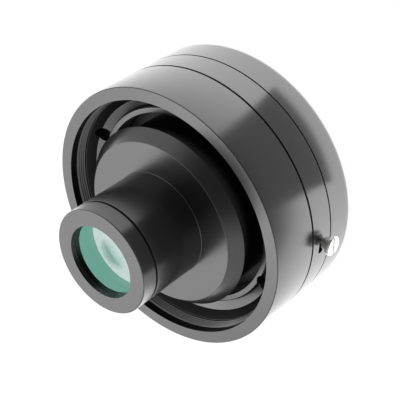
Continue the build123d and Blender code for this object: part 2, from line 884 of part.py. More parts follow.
with BuildPart() as plate_screws:
    with Locations(Plane.XY.offset(mouth_depth)):
        with PolarLocations(plate_pitch_r, screw_count, start_angle=plate_screw_angle):
            Cone(small_head_r, small_screw_r, countersink_h, align=None)
    extrude(
        discs(small_screw_r, mouth_depth, plate_pitch_r, screw_count, plate_screw_angle),
        amount=plate_screw_len,
    )
    with BuildSketch(Plane.XY.offset(mouth_depth)):
        with PolarLocations(plate_pitch_r, screw_count, start_angle=plate_screw_angle):
            RegularPolygon(hex_r, 6)
    extrude(amount=hex_depth, mode=Mode.SUBTRACT)
plate_screws.part.label = "plate_screws"
export_step(plate_screws.part, "parts/plate_screws.step")

# Bowed leaf springs behind the claws, trapped under the rear ring's flange

with BuildPart() as bayonet_springs:
    leaf_mid_r = leaf_r - leaf_w / 2
    half_span = leaf_mid_r * sin(radians(leaf_size / 2))
    for i in range(claw_count):
        leaf_plane = outward_plane(claw_angle + i * 360 / claw_count, leaf_mid_r, plate_back_z)
        with BuildSketch(leaf_plane):
            with BuildLine():
                lower = ThreePointArc((-half_span, 0), (0, leaf_bow), (half_span, 0))
                upper = ThreePointArc(
                    (half_span, leaf_t), (0, leaf_bow + leaf_t), (-half_span, leaf_t)
                )
                Line(lower @ 1, upper @ 0)
                Line(upper @ 1, lower @ 0)
            make_face()
        extrude(amount=2 * leaf_w, both=True)
    with BuildSketch(Plane.XY.offset(plate_back_z)):
        Circle(leaf_r)
        Circle(leaf_r - leaf_w, mode=Mode.SUBTRACT)
    extrude(amount=leaf_room, mode=Mode.INTERSECT)
bayonet_springs.part.label = "bayonet_springs"
export_step(bayonet_springs.part, "parts/bayonet_springs.step")
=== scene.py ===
from math import cos, radians, sin

import bpy
import numpy as np
from mathutils import Matrix, Vector


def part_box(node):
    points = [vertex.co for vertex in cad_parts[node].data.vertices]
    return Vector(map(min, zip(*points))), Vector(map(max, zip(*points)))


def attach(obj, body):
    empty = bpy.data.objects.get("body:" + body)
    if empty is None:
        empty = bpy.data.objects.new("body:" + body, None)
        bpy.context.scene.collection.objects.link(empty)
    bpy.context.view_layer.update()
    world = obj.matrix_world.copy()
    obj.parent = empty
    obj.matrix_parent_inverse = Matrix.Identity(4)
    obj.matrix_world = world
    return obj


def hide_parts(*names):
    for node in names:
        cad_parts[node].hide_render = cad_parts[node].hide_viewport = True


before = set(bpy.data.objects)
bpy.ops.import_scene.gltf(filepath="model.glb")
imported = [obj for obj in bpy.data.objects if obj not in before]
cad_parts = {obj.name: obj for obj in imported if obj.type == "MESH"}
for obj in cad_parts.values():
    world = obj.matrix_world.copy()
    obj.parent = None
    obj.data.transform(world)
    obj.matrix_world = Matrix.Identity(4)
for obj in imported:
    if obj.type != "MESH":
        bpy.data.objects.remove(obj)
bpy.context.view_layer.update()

# Looks of a teleconverter that stands on its rear end, nose up. Sizes in this script are
# millimetres and angles are degrees; a mesh gets metres when its points are stored.
MM = 0.001
AROUND = 288                 # points round the axis on the large rings
FINE_AROUND = 192            # and on the lenses and small rings
EDGE = 0.04                  # rounding of an edge that looks sharp
HOLD = 0.03                  # short flat run beside each rounding, which keeps faces flat
SHARP_FROM = 28              # edges over this angle stay sharp on a piece that was cut
CAMERA_AZIMUTH = 46.7


def reach(node):
    """Outer radius, lowest height and highest height of a turned CAD node, in millimetres."""
    low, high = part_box(node)
    return high.y / MM, low.z / MM, high.z / MM


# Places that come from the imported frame
body_r, joint_z, rim_z = reach("front_skirt")
seat_lip_r, seat_z, floor_z = reach("seat_ring")
retainer_r, retainer_foot_z, retainer_z = reach("ring_retainer")
_, rear_joint_z, well_top_z = reach("main_housing")
flange_r, web_z, flange_z = reach("nose_flange")
nose_r, tube_z, spigot_top_z = reach("nose_tube")
_, cap_z, nose_z = reach("nose_cap")
lens_r, _, _ = reach("front_crown_lens")
_, baffle_z, _ = reach("baffle_tube")
rear_lens_r, _, _ = reach("rear_crown_lens")
_, _, lens_retainer_top_z = reach("lens_retainer")
_, _, rear_ring_top_z = reach("rear_ring")
_, _, plate_back_z = reach("bayonet_plate")
_, ring_z, ring_top_z = reach("release_ring")
stud_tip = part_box("release_stud")[1].x / MM
stud_z = (ring_z + ring_top_z) / 2


def rounded(corners, steps=6):
    """Closed outline from (radius, height, rounding) corners.

    At each corner an arc of that rounding touches both of its runs: its centre lies on the
    bisector, at rounding / sin(half angle) from the corner, and its points swing evenly from
    one touching point to the other. A short flat run is held on each side of it.
    """
    c = np.array([(*k, EDGE)[:3] for k in corners], float)
    p, r = c[:, :2], c[:, 2:3]
    u = np.roll(p, 1, axis=0) - p
    v = np.roll(p, -1, axis=0) - p
    lu = np.linalg.norm(u, axis=1, keepdims=True)
    lv = np.linalg.norm(v, axis=1, keepdims=True)
    u, v = u / lu, v / lv
    half = np.arccos(np.clip((u * v).sum(1, keepdims=True), -1, 1)) / 2
    r = np.minimum(r, 0.4 * np.minimum(lu, lv) * np.tan(half))
    touch = r / np.tan(half)
    centre = p + (u + v) / np.linalg.norm(u + v, axis=1, keepdims=True) * r / np.sin(half)
    a, b = p + u * touch - centre, p + v * touch - centre
    w = np.pi - 2 * half
    k = np.linspace(0, 1, steps + 1)[None, :]
    arc = (np.sin((1 - k) * w)[..., None] * a[:, None] + np.sin(k * w)[..., None] * b[:, None])
    arc = arc / np.sin(w)[..., None] + centre[:, None]
    hold = np.minimum(HOLD, 0.08 * np.minimum(lu, lv))
    before = (p + u * (touch + hold))[:, None]
    after = (p + v * (touch + hold))[:, None]
    return np.concatenate([before, arc, after], axis=1).reshape(-1, 2)


def turned_points(outline, turns):
    """Point (r, z) of the outline at angle a stands at (r cos a, r sin a, z)."""
    a = np.linspace(0, 2 * np.pi, turns, endpoint=False)[:, None]
    r, z = outline[None, :, 0], outline[None, :, 1]
    return np.stack([r * np.cos(a), r * np.sin(a), z + 0 * a], axis=-1)


def grid_faces(rows, columns, wrap_rows=True, wrap_columns=True):
    """Quads between neighbouring rows and columns of a grid of points."""
    i = np.arange(rows if wrap_rows else rows - 1)[:, None]
    j = np.arange(columns if wrap_columns else columns - 1)[None, :]
    i2, j2 = (i + 1) % rows, (j + 1) % columns
    quads = np.stack([i * columns + j, i2 * columns + j, i2 * columns + j2, i * columns + j2], -1)
    return quads.reshape(-1, 4)


def piece(name, points, faces):
    """Smooth mesh object from points in millimetres and faces."""
    mesh = bpy.data.meshes.new(name)
    mesh.from_pydata((np.asarray(points).reshape(-1, 3) * MM).tolist(), [], faces)
    mesh.validate()
    mesh.update()
    mesh.shade_smooth()
    thing = bpy.data.objects.new(name, mesh)
    bpy.context.scene.collection.objects.link(thing)
    return thing


def turned(name, outline, turns=AROUND):
    """Closed ring turned from an outline that runs anticlockwise in (radius, height)."""
    points = turned_points(outline, turns)
    return piece(name, points, grid_faces(turns, len(outline)).tolist())


def turned_solid(name, outline, turns=FINE_AROUND):
    """Solid turned from an outline that starts and ends on the axis, closed there by fans."""
    middle = outline[1:-1]
    n = len(middle)
    points = turned_points(middle, turns).reshape(-1, 3)
    ends = np.array([(0, 0, outline[0][1]), (0, 0, outline[-1][1])])
    faces = grid_faces(turns, n, wrap_columns=False).tolist()
    i = np.arange(turns)
    i2 = (i + 1) % turns
    first, last = turns * n, turns * n + 1
    faces += np.stack([i2 * n, i * n, 0 * i + first], -1).tolist()
    faces += np.stack([i * n + n - 1, i2 * n + n - 1, 0 * i + last], -1).tolist()
    return piece(name, np.concatenate([points, ends]), faces)


def dome(radius, edge_r, curvature_r):
    """Height of a spherical face above its edge; a negative curvature hangs down."""
    rise = np.sqrt(curvature_r**2 - radius**2) - np.sqrt(curvature_r**2 - edge_r**2)
    return rise if curvature_r > 0 else -rise


def lens_outline(radius, low_edge, low_curvature, high_edge, high_curvature, bevel=0.12):
    """From the axis out along the lower face, up the edge and back along the upper face."""
    r = radius * np.sin(np.linspace(0, np.pi / 2, 28)) * (1 - bevel / radius)
    low = np.stack([r, low_edge + dome(r, radius, low_curvature)], -1)
    high = np.stack([r, high_edge + dome(r, radius, high_curvature)], -1)
    edge = np.array([(radius, low_edge + bevel), (radius, high_edge - bevel)])
    return np.concatenate([low, edge, high[::-1]])


def cut(target, cutters):
    """Takes the cutters' space out of a piece, as a drill or a mill would."""
    for cutter in cutters:
        step = target.modifiers.new("cut", "BOOLEAN")
        step.operation = "DIFFERENCE"
        step.solver = "EXACT"
        step.object = cutter
        graph = bpy.context.evaluated_depsgraph_get()
        made = bpy.data.meshes.new_from_object(target.evaluated_get(graph))
        target.modifiers.remove(step)
        old = target.data
        target.data = made
        made.name = target.name
        bpy.data.meshes.remove(old)
        bpy.data.objects.remove(cutter)
    target.data.shade_smooth()
    target.data.set_sharp_from_angle(angle=radians(SHARP_FROM))
    return target


def upright_bar(radius, low, high, at_r, at_angle, turns=48):
    """Round bar along the axis, at an angle round it, that serves as a drill."""
    outline = np.array([(0, low), (radius, low), (radius, high), (0, high)])
    bar = turned_solid("drill", outline, turns)
    a = radians(at_angle)
    bar.data.transform(Matrix.Translation(Vector((at_r * cos(a), at_r * sin(a), 0)) * MM))
    return bar


# Front doublet: edge heights and curvatures, with its upper face under the lip of the cap
LIP_T = 1.2                  # lip of the cap round the aperture
APERTURE_R = 8.4
FRONT_R, CEMENT_R, BACK_R = 400.0, -60.0, -52.0
CROWN_EDGE_Z = nose_z - LIP_T - dome(APERTURE_R, lens_r, FRONT_R)
CROWN_EDGE_T, FLINT_EDGE_T = 2.0, 0.95
FLINT_EDGE_Z = CROWN_EDGE_Z - CROWN_EDGE_T
BACK_EDGE_Z = FLINT_EDGE_Z - FLINT_EDGE_T
LENS_GAP = 0.01              # keeps the joined faces of two lenses apart


def cement_z(radius):
    """Height of the joint between the two lenses at a radius."""
    return FLINT_EDGE_Z + dome(radius, lens_r, CEMENT_R)


def back_z(radius):
    """Height of the doublet's lower face at a radius."""
    return BACK_EDGE_Z + dome(radius, lens_r, BACK_R)


# Nodes and links of a material are made by name, so that each finish reads as a short list
def material(name, **sockets):
    """New node material with the given values on its surface shader's own sockets."""
    made = bpy.data.materials.new(name)
    made.use_nodes = True
    shader = made.node_tree.nodes["Principled BSDF"]
    for key, value in sockets.items():
        shader.inputs[key.replace("_", " ")].default_value = value
    return made, made.node_tree.nodes, made.node_tree.links, shader


def add(nodes, kind, **values):
    """Node of a kind, with attributes and input values set by name."""
    node = nodes.new("ShaderNode" + kind)
    for key, value in values.items():
        if hasattr(node, key):
            setattr(node, key, value)
        else:
            node.inputs[key.replace("_", " ")].default_value = value
    return node


def turning_height(nodes, links, grain, rings):
    """Height from a fine grain plus faint rings that follow the radius and the height."""
    coords = add(nodes, "TexCoord")
    fine = add(nodes, "TexNoise", Scale=grain, Detail=3.0, Roughness=0.6)
    links.new(coords.outputs["Object"], fine.inputs["Vector"])
    parts = add(nodes, "SeparateXYZ")
    links.new(coords.outputs["Object"], parts.inputs["Vector"])
    flat = add(nodes, "CombineXYZ")
    links.new(parts.outputs["X"], flat.inputs["X"])
    links.new(parts.outputs["Y"], flat.inputs["Y"])
    length = add(nodes, "VectorMath", operation="LENGTH")
    links.new(flat.outputs["Vector"], length.inputs[0])
    lathe = add(nodes, "CombineXYZ")
    links.new(length.outputs["Value"], lathe.inputs["X"])
    links.new(parts.outputs["Z"], lathe.inputs["Y"])
    ring = add(nodes, "TexNoise", Scale=rings, Detail=2.0, Roughness=0.7)
    links.new(lathe.outputs["Vector"], ring.inputs["Vector"])
    both = add(nodes, "Math", operation="MULTIPLY_ADD")
    both.inputs[1].default_value = 0.5
    links.new(ring.outputs["Fac"], both.inputs[0])
    links.new(fine.outputs["Fac"], both.inputs[2])
    return both.outputs["Value"], fine.outputs["Fac"]


def black_anodised(name, colour, roughness, grain=5200.0, depth=0.02):
    """Satin black anodised aluminium: dark body, bright at a glance, a fine blasted grain."""
    made, nodes, links, shader = material(
        name, Base_Color=(*colour, 1), Metallic=0.0, IOR=2.2, Roughness=roughness
    )
    height, fine = turning_height(nodes, links, grain, 1800.0)
    spread = add(nodes, "MapRange", To_Min=roughness - 0.03, To_Max=roughness + 0.04)
    links.new(fine, spread.inputs["Value"])
    links.new(spread.outputs["Result"], shader.inputs["Roughness"])
    bump = add(nodes, "Bump", Strength=depth, Distance=0.00003)
    links.new(height, bump.inputs["Height"])
    links.new(bump.outputs["Normal"], shader.inputs["Normal"])
    return made


def bright_metal(name, colour, roughness, depth=0.06):
    """Turned and polished metal with fine turning marks."""
    made, nodes, links, shader = material(
        name, Base_Color=(*colour, 1), Metallic=1.0, Roughness=roughness
    )
    height, fine = turning_height(nodes, links, 1500.0, 6000.0)
    spread = add(nodes, "MapRange", To_Min=roughness - 0.04, To_Max=roughness + 0.06)
    links.new(fine, spread.inputs["Value"])
    links.new(spread.outputs["Result"], shader.inputs["Roughness"])
    bump = add(nodes, "Bump", Strength=depth, Distance=0.00002)
    links.new(height, bump.inputs["Height"])
    links.new(bump.outputs["Normal"], shader.inputs["Normal"])
    return made


def coated_glass(name, tint, strength, levels):
    """Lens with a coloured coating: it mirrors the room in its tint and lets the rest through.

    The levels are pairs of a height and the part of the strength there, from low to high, with
    an even run between neighbours, because a lens has another coat on each of its surfaces.
    """
    made, nodes, links, shader = material(name)
    nodes.remove(shader)
    out = nodes["Material Output"]
    mirror = add(nodes, "BsdfGlossy", Color=(*tint, 1), Roughness=0.02)
    through = add(nodes, "BsdfTransparent", Color=(0.93, 0.97, 0.95, 1))
    slant = add(nodes, "LayerWeight")
    steep = add(nodes, "Math", operation="POWER")
    steep.inputs[1].default_value = 4.0
    links.new(slant.outputs["Facing"], steep.inputs[0])
    share = add(nodes, "Math", operation="MULTIPLY_ADD")
    share.inputs[1].default_value = 0.5
    share.inputs[2].default_value = strength
    links.new(steep.outputs["Value"], share.inputs[0])
    coords = add(nodes, "TexCoord")
    parts = add(nodes, "SeparateXYZ")
    links.new(coords.outputs["Object"], parts.inputs["Vector"])
    low, high = levels[0][0], levels[-1][0]
    along = add(nodes, "MapRange", From_Min=low * MM, From_Max=high * MM)
    links.new(parts.outputs["Z"], along.inputs["Value"])
    local = add(nodes, "ValToRGB")
    links.new(along.outputs["Result"], local.inputs["Fac"])
    stops = local.color_ramp.elements
    while len(stops) < len(levels):
        stops.new(0.5)
    for stop, (height, part) in zip(stops, levels):
        stop.position = (height - low) / (high - low)
        stop.color = (part, part, part, 1)
    here = add(nodes, "Math", operation="MULTIPLY")
    links.new(share.outputs["Value"], here.inputs[0])
    links.new(local.outputs["Color"], here.inputs[1])
    mix = add(nodes, "MixShader")
    links.new(here.outputs["Value"], mix.inputs["Fac"])
    links.new(through.outputs["BSDF"], mix.inputs[1])
    links.new(mirror.outputs["BSDF"], mix.inputs[2])
    links.new(mix.outputs["Shader"], out.inputs["Surface"])
    return made


# Near-black with a weak sheen, used only as painted shade: it darkens the skirt's cone and the web
# under the flange, where shade falls
PAINTED_SHADE_BLACK, *_ = material("painted_shade_black", Base_Color=(0.003, 0.003, 0.003, 1), IOR=1.4, Roughness=0.4)
ANODISED = black_anodised("black_anodised", (0.004, 0.004, 0.0042), 0.25)
INNER_BLACK = black_anodised("matt_black_baffle", (0.010, 0.010, 0.011), 0.32, depth=0.10)
BRIGHT_STEEL = bright_metal("polished_steel", (0.78, 0.78, 0.77), 0.30)
SPRING_STEEL = bright_metal("spring_steel", (0.60, 0.60, 0.59), 0.28)
DARK_STEEL = bright_metal("black_steel", (0.09, 0.09, 0.095), 0.35)
PLATED = bright_metal("plated_steel", (0.66, 0.66, 0.65), 0.24)
BRASS = bright_metal("turned_brass", (0.70, 0.52, 0.25), 0.26)
FRONT_COAT = coated_glass("front_coating", (0.39, 0.95, 0.77), 0.235, [
    (nose_z - 1.9, 0.0), (nose_z - 1.85, 1.0), (nose_z, 1.0)])
INNER_COAT = coated_glass("inner_coating", (1.0, 0.65, 0.80), 0.78, [
    (back_z(0.0), 1.0), (BACK_EDGE_Z, 1.0), (cement_z(0.0), 0.08), (cement_z(3.9), 0.85)])
REAR_COAT = coated_glass("rear_coating", (0.45, 0.90, 0.75), 0.06, [
    (tube_z, 1.0), (baffle_z, 1.0)])
RUBBER, *_ = material("seal_rubber", Base_Color=(0.02, 0.02, 0.02, 1), Roughness=0.7)


def dress(thing, finish, body="housing", replaces=()):
    """Gives a new piece its finish, its body and the nodes it stands for."""
    thing.data.materials.clear()
    thing.data.materials.append(finish)
    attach(thing, body)
    if replaces:
        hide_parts(*replaces)
    return thing


def repaint(thing, finish, radii, heights):
    """Second material, used here for painted shade, on the faces whose middle lies between two radii
    and two heights.
    """
    mesh = thing.data
    mesh.materials.append(finish)
    for face in mesh.polygons:
        middle = face.center / MM
        r = middle.xy.length
        if radii[0] < r < radii[1] and heights[0] < middle.z < heights[1]:
            face.material_index = len(mesh.materials) - 1


# Front skirt: rim, plain land, fine ribs, and a cone darkened with painted shade
FRONT_GROOVE = (0.24, 0.5)   # half width and depth of the groove between skirt and housing
REAR_GROOVE = (0.16, 0.4)    # and of the one between housing and rear ring
CAP_GROOVE = (0.25, 0.55)    # and of the one between tube and cap
rim_bevel = 0.15
land_r, land_depth = 28.05, 1.9
rib_r, rib_height, rib_pitch, rib_count = 27.6, 0.4, 0.65, 4
floor_r = 26.0
spigot_r, seat_lip_t = 28.0, 0.8
RETAINER_BORE_R = 22.5       # opening of the floor's retainer and of the housing under it
CHANNEL_R = 28.5             # outer wall of the channel of the release ring
SOCKET_R = 22.6              # socket for the eyepiece's flange
SHOULDER_T = 1.0             # step in the tube between the baffle and the rear lenses
POCKET = {"radius": 1.85, "at_r": 25.0, "angles": (157.0, -23.0)}


def pockets(low):
    """Drills for the two round pockets of the floor."""
    return [
        upright_bar(POCKET["radius"], low, rim_z, POCKET["at_r"], angle)
        for angle in POCKET["angles"]
    ]


def groove(radius, joint, size, above):
    """Corners of the half of a groove that lies above or below its joint, in outline order."""
    half, depth = size
    if above:
        return [
            (radius - depth, joint), (radius - depth, joint + half, 0.03),
            (radius, joint + half, 0.06),
        ]
    return [
        (radius, joint - half, 0.06), (radius - depth, joint - half, 0.03),
        (radius - depth, joint),
    ]


def make_front_skirt():
    rib_top = rim_z - land_depth
    ribs = []
    for i in range(rib_count):
        ribs.append((rib_r + rib_height, rib_top - i * rib_pitch, 0.05))
        ribs.append((rib_r, rib_top - (i + 0.5) * rib_pitch, 0.08))
    rib_end = rib_top - rib_count * rib_pitch
    outline = rounded([
        (spigot_r, joint_z),
        *groove(body_r, joint_z, FRONT_GROOVE, above=True),
        (body_r, rim_z - rim_bevel),
        (body_r - rim_bevel, rim_z),
        (land_r, rim_z, 0.06),
        (land_r, rib_top),
        *ribs,
        (rib_r + rib_height, rib_end, 0.05),
        (rib_r, rib_end, 0.08),
        (floor_r, floor_z),
        (floor_r, seat_z + seat_lip_t),
        (seat_lip_r, seat_z + seat_lip_t),
        (seat_lip_r, seat_z),
        (spigot_r, seat_z),
    ])
    skirt = cut(turned("skirt", outline), pockets(seat_z + seat_lip_t))
    dress(skirt, ANODISED, replaces=["front_skirt"])
    # Painted shade: the cone below the ribs gets the dull near-black all round, for the shade that
    # falls in this recess
    repaint(skirt, PAINTED_SHADE_BLACK, (floor_r - 0.1, rib_r + 0.1), (floor_z, rib_end - 0.05))


def make_floor():
    inner_r, dish = retainer_r + 0.05, 0.9
    outline = rounded([
        (inner_r, seat_z),
        (seat_lip_r, seat_z),
        (seat_lip_r, seat_z + seat_lip_t),
        (floor_r, seat_z + seat_lip_t),
        (floor_r, floor_z, 0.05),
        (inner_r, floor_z - dish, 0.08),
    ])
    floor = cut(turned("skirt_floor", outline), pockets(seat_z + seat_lip_t))
    dress(floor, ANODISED, replaces=["seat_ring"])
    ring = rounded([
        (RETAINER_BORE_R, retainer_foot_z),
        (retainer_r, retainer_foot_z),
        (retainer_r, retainer_z, 0.15),
        (RETAINER_BORE_R, retainer_z, 0.15),
    ])
    retainer = cut(turned("floor_retainer", ring), pockets(seat_z + seat_lip_t))
    dress(retainer, ANODISED, replaces=["ring_retainer"])


# Main housing: barrel ring with the stud's slot, spigot, web and well
def make_housing():
    web_under_z = web_z - 2.6
    ring_floor, channel_top = rear_ring_top_z, ring_top_z + 0.1
    well_r, hub_r, bearing_r = 12.7, 14.2, 26.3
    outline = rounded([
        *groove(body_r, rear_joint_z, REAR_GROOVE, above=True),
        *groove(body_r, joint_z, FRONT_GROOVE, above=False),
        (spigot_r, joint_z),
        (spigot_r, seat_z),
        (retainer_r, seat_z),
        (retainer_r, retainer_foot_z),
        (RETAINER_BORE_R, retainer_foot_z),
        (RETAINER_BORE_R, web_z),
        (hub_r, web_z, 0.2),
        (hub_r, well_top_z, 0.15),
        (well_r, well_top_z, 0.15),
        (well_r, web_under_z, 0.25),
        (SOCKET_R, web_under_z, 0.1),
        (SOCKET_R, ring_floor),
        (bearing_r, ring_floor),
        (bearing_r, channel_top),
        (CHANNEL_R, channel_top),
        (CHANNEL_R, rear_joint_z),
    ])
    housing = turned("housing", outline)
    slot_start, slot_end, slot_half_w = -4.5, 0.0, 0.8
    slot = turned_slot(
        slot_start, slot_end, slot_half_w, stud_z, CHANNEL_R - 0.5, body_r + 0.5)
    screw_count, screws_r, head_r, head_h = 4, 18.8, 2.0, 1.5
    drills = [
        upright_bar(head_r, web_under_z - 1, web_under_z + head_h, screws_r, 45 + 90 * i)
        for i in range(screw_count)
    ]
    cut(housing, [slot, *drills])
    dress(housing, ANODISED, replaces=["main_housing"])
    # Painted shade: the web under the flange, between hub and retainer bore, gets the dull
    # near-black, for the shade between the parts
    repaint(housing, PAINTED_SHADE_BLACK, (hub_r, RETAINER_BORE_R + 0.1), (web_z - 0.1, retainer_foot_z))


def turned_slot(start, end, half_width, height, inner_r, outer_r, count=20):
    """Mill for a slot round the barrel: a stadium on the cylinder, carried from radius to radius.

    Its edge runs round two half circles, one at each end angle, and the same edge at the inner
    and outer radius makes the walls.
    """
    mean = (inner_r + outer_r) / 2
    t = np.linspace(-np.pi / 2, np.pi / 2, count)
    right = np.stack([radians(end) * mean + half_width * np.cos(t), half_width * np.sin(t)], -1)
    left = np.stack([radians(start) * mean - half_width * np.cos(t), -half_width * np.sin(t)], -1)
    edge = np.concatenate([right, left])
    a = edge[:, 0] / mean
    rings = [
        np.stack([r * np.cos(a), r * np.sin(a), height + edge[:, 1]], -1)
        for r in (inner_r, outer_r)
    ]
    n = len(edge)
    faces = grid_faces(n, 2, wrap_columns=False)
    order = faces % 2 * n + faces // 2
    lids = [list(range(n))[::-1], list(range(n, 2 * n))]
    return piece("mill", np.concatenate(rings), order.tolist() + lids)


# Rear ring, rounded at the end that the part stands on
def make_rear_ring():
    edge_r = 4.25
    leaf_room_r, mouth_r = 23.35, 26.0
    leaf_room_z = plate_back_z + 1.4
    outline = rounded([
        (mouth_r, 0, 0.3),
        (body_r, 0, edge_r),
        *groove(body_r, rear_joint_z, REAR_GROOVE, above=False),
        (CHANNEL_R, rear_joint_z),
        (CHANNEL_R, rear_ring_top_z),
        (SOCKET_R, rear_ring_top_z),
        (SOCKET_R, leaf_room_z),
        (leaf_room_r, leaf_room_z),
        (leaf_room_r, plate_back_z),
        (mouth_r, plate_back_z),
    ], steps=16)
    ring = turned("rear_barrel_ring", outline)
    dress(ring, ANODISED, replaces=["rear_ring"])


# Nose: flange, tube and cap
def make_nose():
    flat_r, cone_h, floor_t, boss_h = 19.2, 2.79, 3.25, 7.15
    neck_r, neck_bore_r, boss_r, bore_r = 20.2, 17.4, 14.8, nose_r - 0.4
    flange = turned("flange", rounded([
        (bore_r, flange_z),
        (flat_r, flange_z, 0.12),
        (flange_r, flange_z - cone_h, 0.08),
        (neck_r, flange_z - cone_h, 0.1),
        (neck_r, web_z),
        (neck_bore_r, web_z),
        (neck_bore_r, flange_z - floor_t, 0.3),
        (boss_r, flange_z - floor_t, 0.3),
        (boss_r, flange_z - boss_h, 0.2),
        (bore_r, flange_z - boss_h),
    ][::-1]))
    dress(flange, ANODISED, replaces=["nose_flange"])
    cap_bore_r, lens_bore_r, foot = 11.2, lens_r + 0.05, 0.13
    rear_bore_r, shoulder_r = rear_lens_r + 0.05, 8.0
    tube = turned("nose_barrel", rounded([
        (rear_bore_r, tube_z, 0.2),
        (bore_r, tube_z, 0.2),
        (bore_r, flange_z),
        (nose_r + foot, flange_z, 0.02),
        (nose_r, flange_z + foot, 0.02),
        *groove(nose_r, cap_z, CAP_GROOVE, above=False),
        (cap_bore_r, cap_z),
        (cap_bore_r, spigot_top_z),
        (lens_bore_r, spigot_top_z),
        (lens_bore_r, baffle_z),
        (shoulder_r, baffle_z),
        (shoulder_r, baffle_z - SHOULDER_T),
        (rear_bore_r, baffle_z - SHOULDER_T),
    ]))
    dress(tube, ANODISED, replaces=["nose_tube"])
    cap = turned("nose_cap_ring", rounded([
        (cap_bore_r, cap_z),
        *groove(nose_r, cap_z, CAP_GROOVE, above=True),
        (nose_r, nose_z, 0.28),
        (APERTURE_R, nose_z, 0.08),
        (APERTURE_R, nose_z - LIP_T),
        (cap_bore_r, nose_z - LIP_T),
    ]))
    dress(cap, ANODISED, replaces=["nose_cap"])


# Lenses and what is seen through them
def make_lenses():
    crown = turned_solid("front_crown", lens_outline(
        lens_r, FLINT_EDGE_Z, CEMENT_R, CROWN_EDGE_Z, FRONT_R))
    dress(crown, FRONT_COAT, replaces=["front_crown_lens"])
    flint = turned_solid("front_flint", lens_outline(
        lens_r, BACK_EDGE_Z, BACK_R, FLINT_EDGE_Z - LENS_GAP, CEMENT_R))
    dress(flint, INNER_COAT, replaces=["front_flint_lens"])
    upper_r, joint_r, lower_r = -40.0, -24.0, 26.0
    rear_edge = baffle_z - SHOULDER_T
    rear_joint = rear_edge - 1.6
    crown = turned_solid("rear_crown", lens_outline(
        rear_lens_r, rear_joint, joint_r, rear_edge, upper_r))
    dress(crown, REAR_COAT, replaces=["rear_crown_lens"])
    flint = turned_solid("rear_flint", lens_outline(
        rear_lens_r, lens_retainer_top_z, lower_r, rear_joint - LENS_GAP, joint_r))
    dress(flint, REAR_COAT, replaces=["rear_flint_lens"])


def make_baffle():
    rim_r, rim_h, stop_r, stop_t, bore_r, rib_h, count = 8.6, 0.7, 5.9, 0.5, 7.9, 0.8, 6
    top_z = back_z(rim_r)
    stop_z = top_z - rim_h
    first = stop_z - stop_t
    step = (first - baffle_z) / count
    ribs = []
    for i in range(count):
        ribs.append((bore_r + rib_h, first - i * step, 0.05))
        ribs.append((bore_r, first - (i + 1) * step + 0.05, 0.05))
    tube = turned("baffle", rounded([
        (lens_r, baffle_z),
        (lens_r, top_z),
        (rim_r, top_z, 0.14),
        (rim_r, stop_z, 0.05),
        (stop_r, stop_z, 0.12),
        (stop_r, first, 0.08),
        *ribs,
        (bore_r, baffle_z),
    ]), FINE_AROUND)
    dress(tube, INNER_BLACK, replaces=["baffle_tube"])


# Release stud: slotted steel head on a shank, turned about a line that points outwards
def make_stud():
    neck_r, shank_r, head_r, head_h, inner = 0.65, 1.38, 2.2, 0.95, 26.42
    shank = body_r + 0.7
    head = stud_tip - head_h
    outline = np.concatenate([
        [(0, inner)],
        rounded([
            (0.0, inner),
            (neck_r, inner, 0.05),
            (neck_r, shank, 0.02),
            (shank_r, shank, 0.08),
            (shank_r, head, 0.02),
            (head_r, head, 0.1),
            (head_r, stud_tip, 0.3),
            (0.0, stud_tip),
        ])[7:-7],
        [(0, stud_tip)],
    ])
    stud = turned_solid("stud", outline, 96)
    outwards = Matrix.Rotation(radians(90), 4, "Y")
    stud.data.transform(Matrix.Translation((0, 0, stud_z * MM)) @ outwards)
    slit_depth, slit_half = 0.4, 0.25
    slit = piece("mill", *box_points(
        (stud_tip - slit_depth, -3, stud_z - slit_half), (stud_tip + 1, 3, stud_z + slit_half)))
    cut(stud, [slit])
    dress(stud, BRIGHT_STEEL, body="release", replaces=["release_stud"])


def box_points(low, high):
    """Corners and faces of a box between two corners."""
    c = np.array([low, high], float)
    k = np.indices((2, 2, 2)).reshape(3, -1).T
    points = np.stack([c[k[:, 0], 0], c[k[:, 1], 1], c[k[:, 2], 2]], -1)
    faces = [(0, 1, 3, 2), (4, 6, 7, 5), (0, 4, 5, 1), (2, 3, 7, 6), (0, 2, 6, 4), (1, 5, 7, 3)]
    return points, faces


def finish_nodes():
    """Gives the CAD nodes that stay in view their finish."""
    finishes = {
        "bayonet_plate": PLATED, "plate_screws": BRIGHT_STEEL, "bayonet_springs": SPRING_STEEL,
        "lock_pin": BRIGHT_STEEL, "lock_spring": SPRING_STEEL, "return_spring": SPRING_STEEL,
        "release_ring": BRASS, "flange_screws": DARK_STEEL, "housing_screws": DARK_STEEL,
        "tube_grub_screws": DARK_STEEL, "lens_retainer": INNER_BLACK, "front_lens_seal": RUBBER,
    }
    for node, finish in finishes.items():
        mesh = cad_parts[node].data
        mesh.materials.clear()
        mesh.materials.append(finish)


make_front_skirt()
make_floor()
make_housing()
make_rear_ring()
make_nose()
make_lenses()
make_baffle()
make_stud()
finish_nodes()


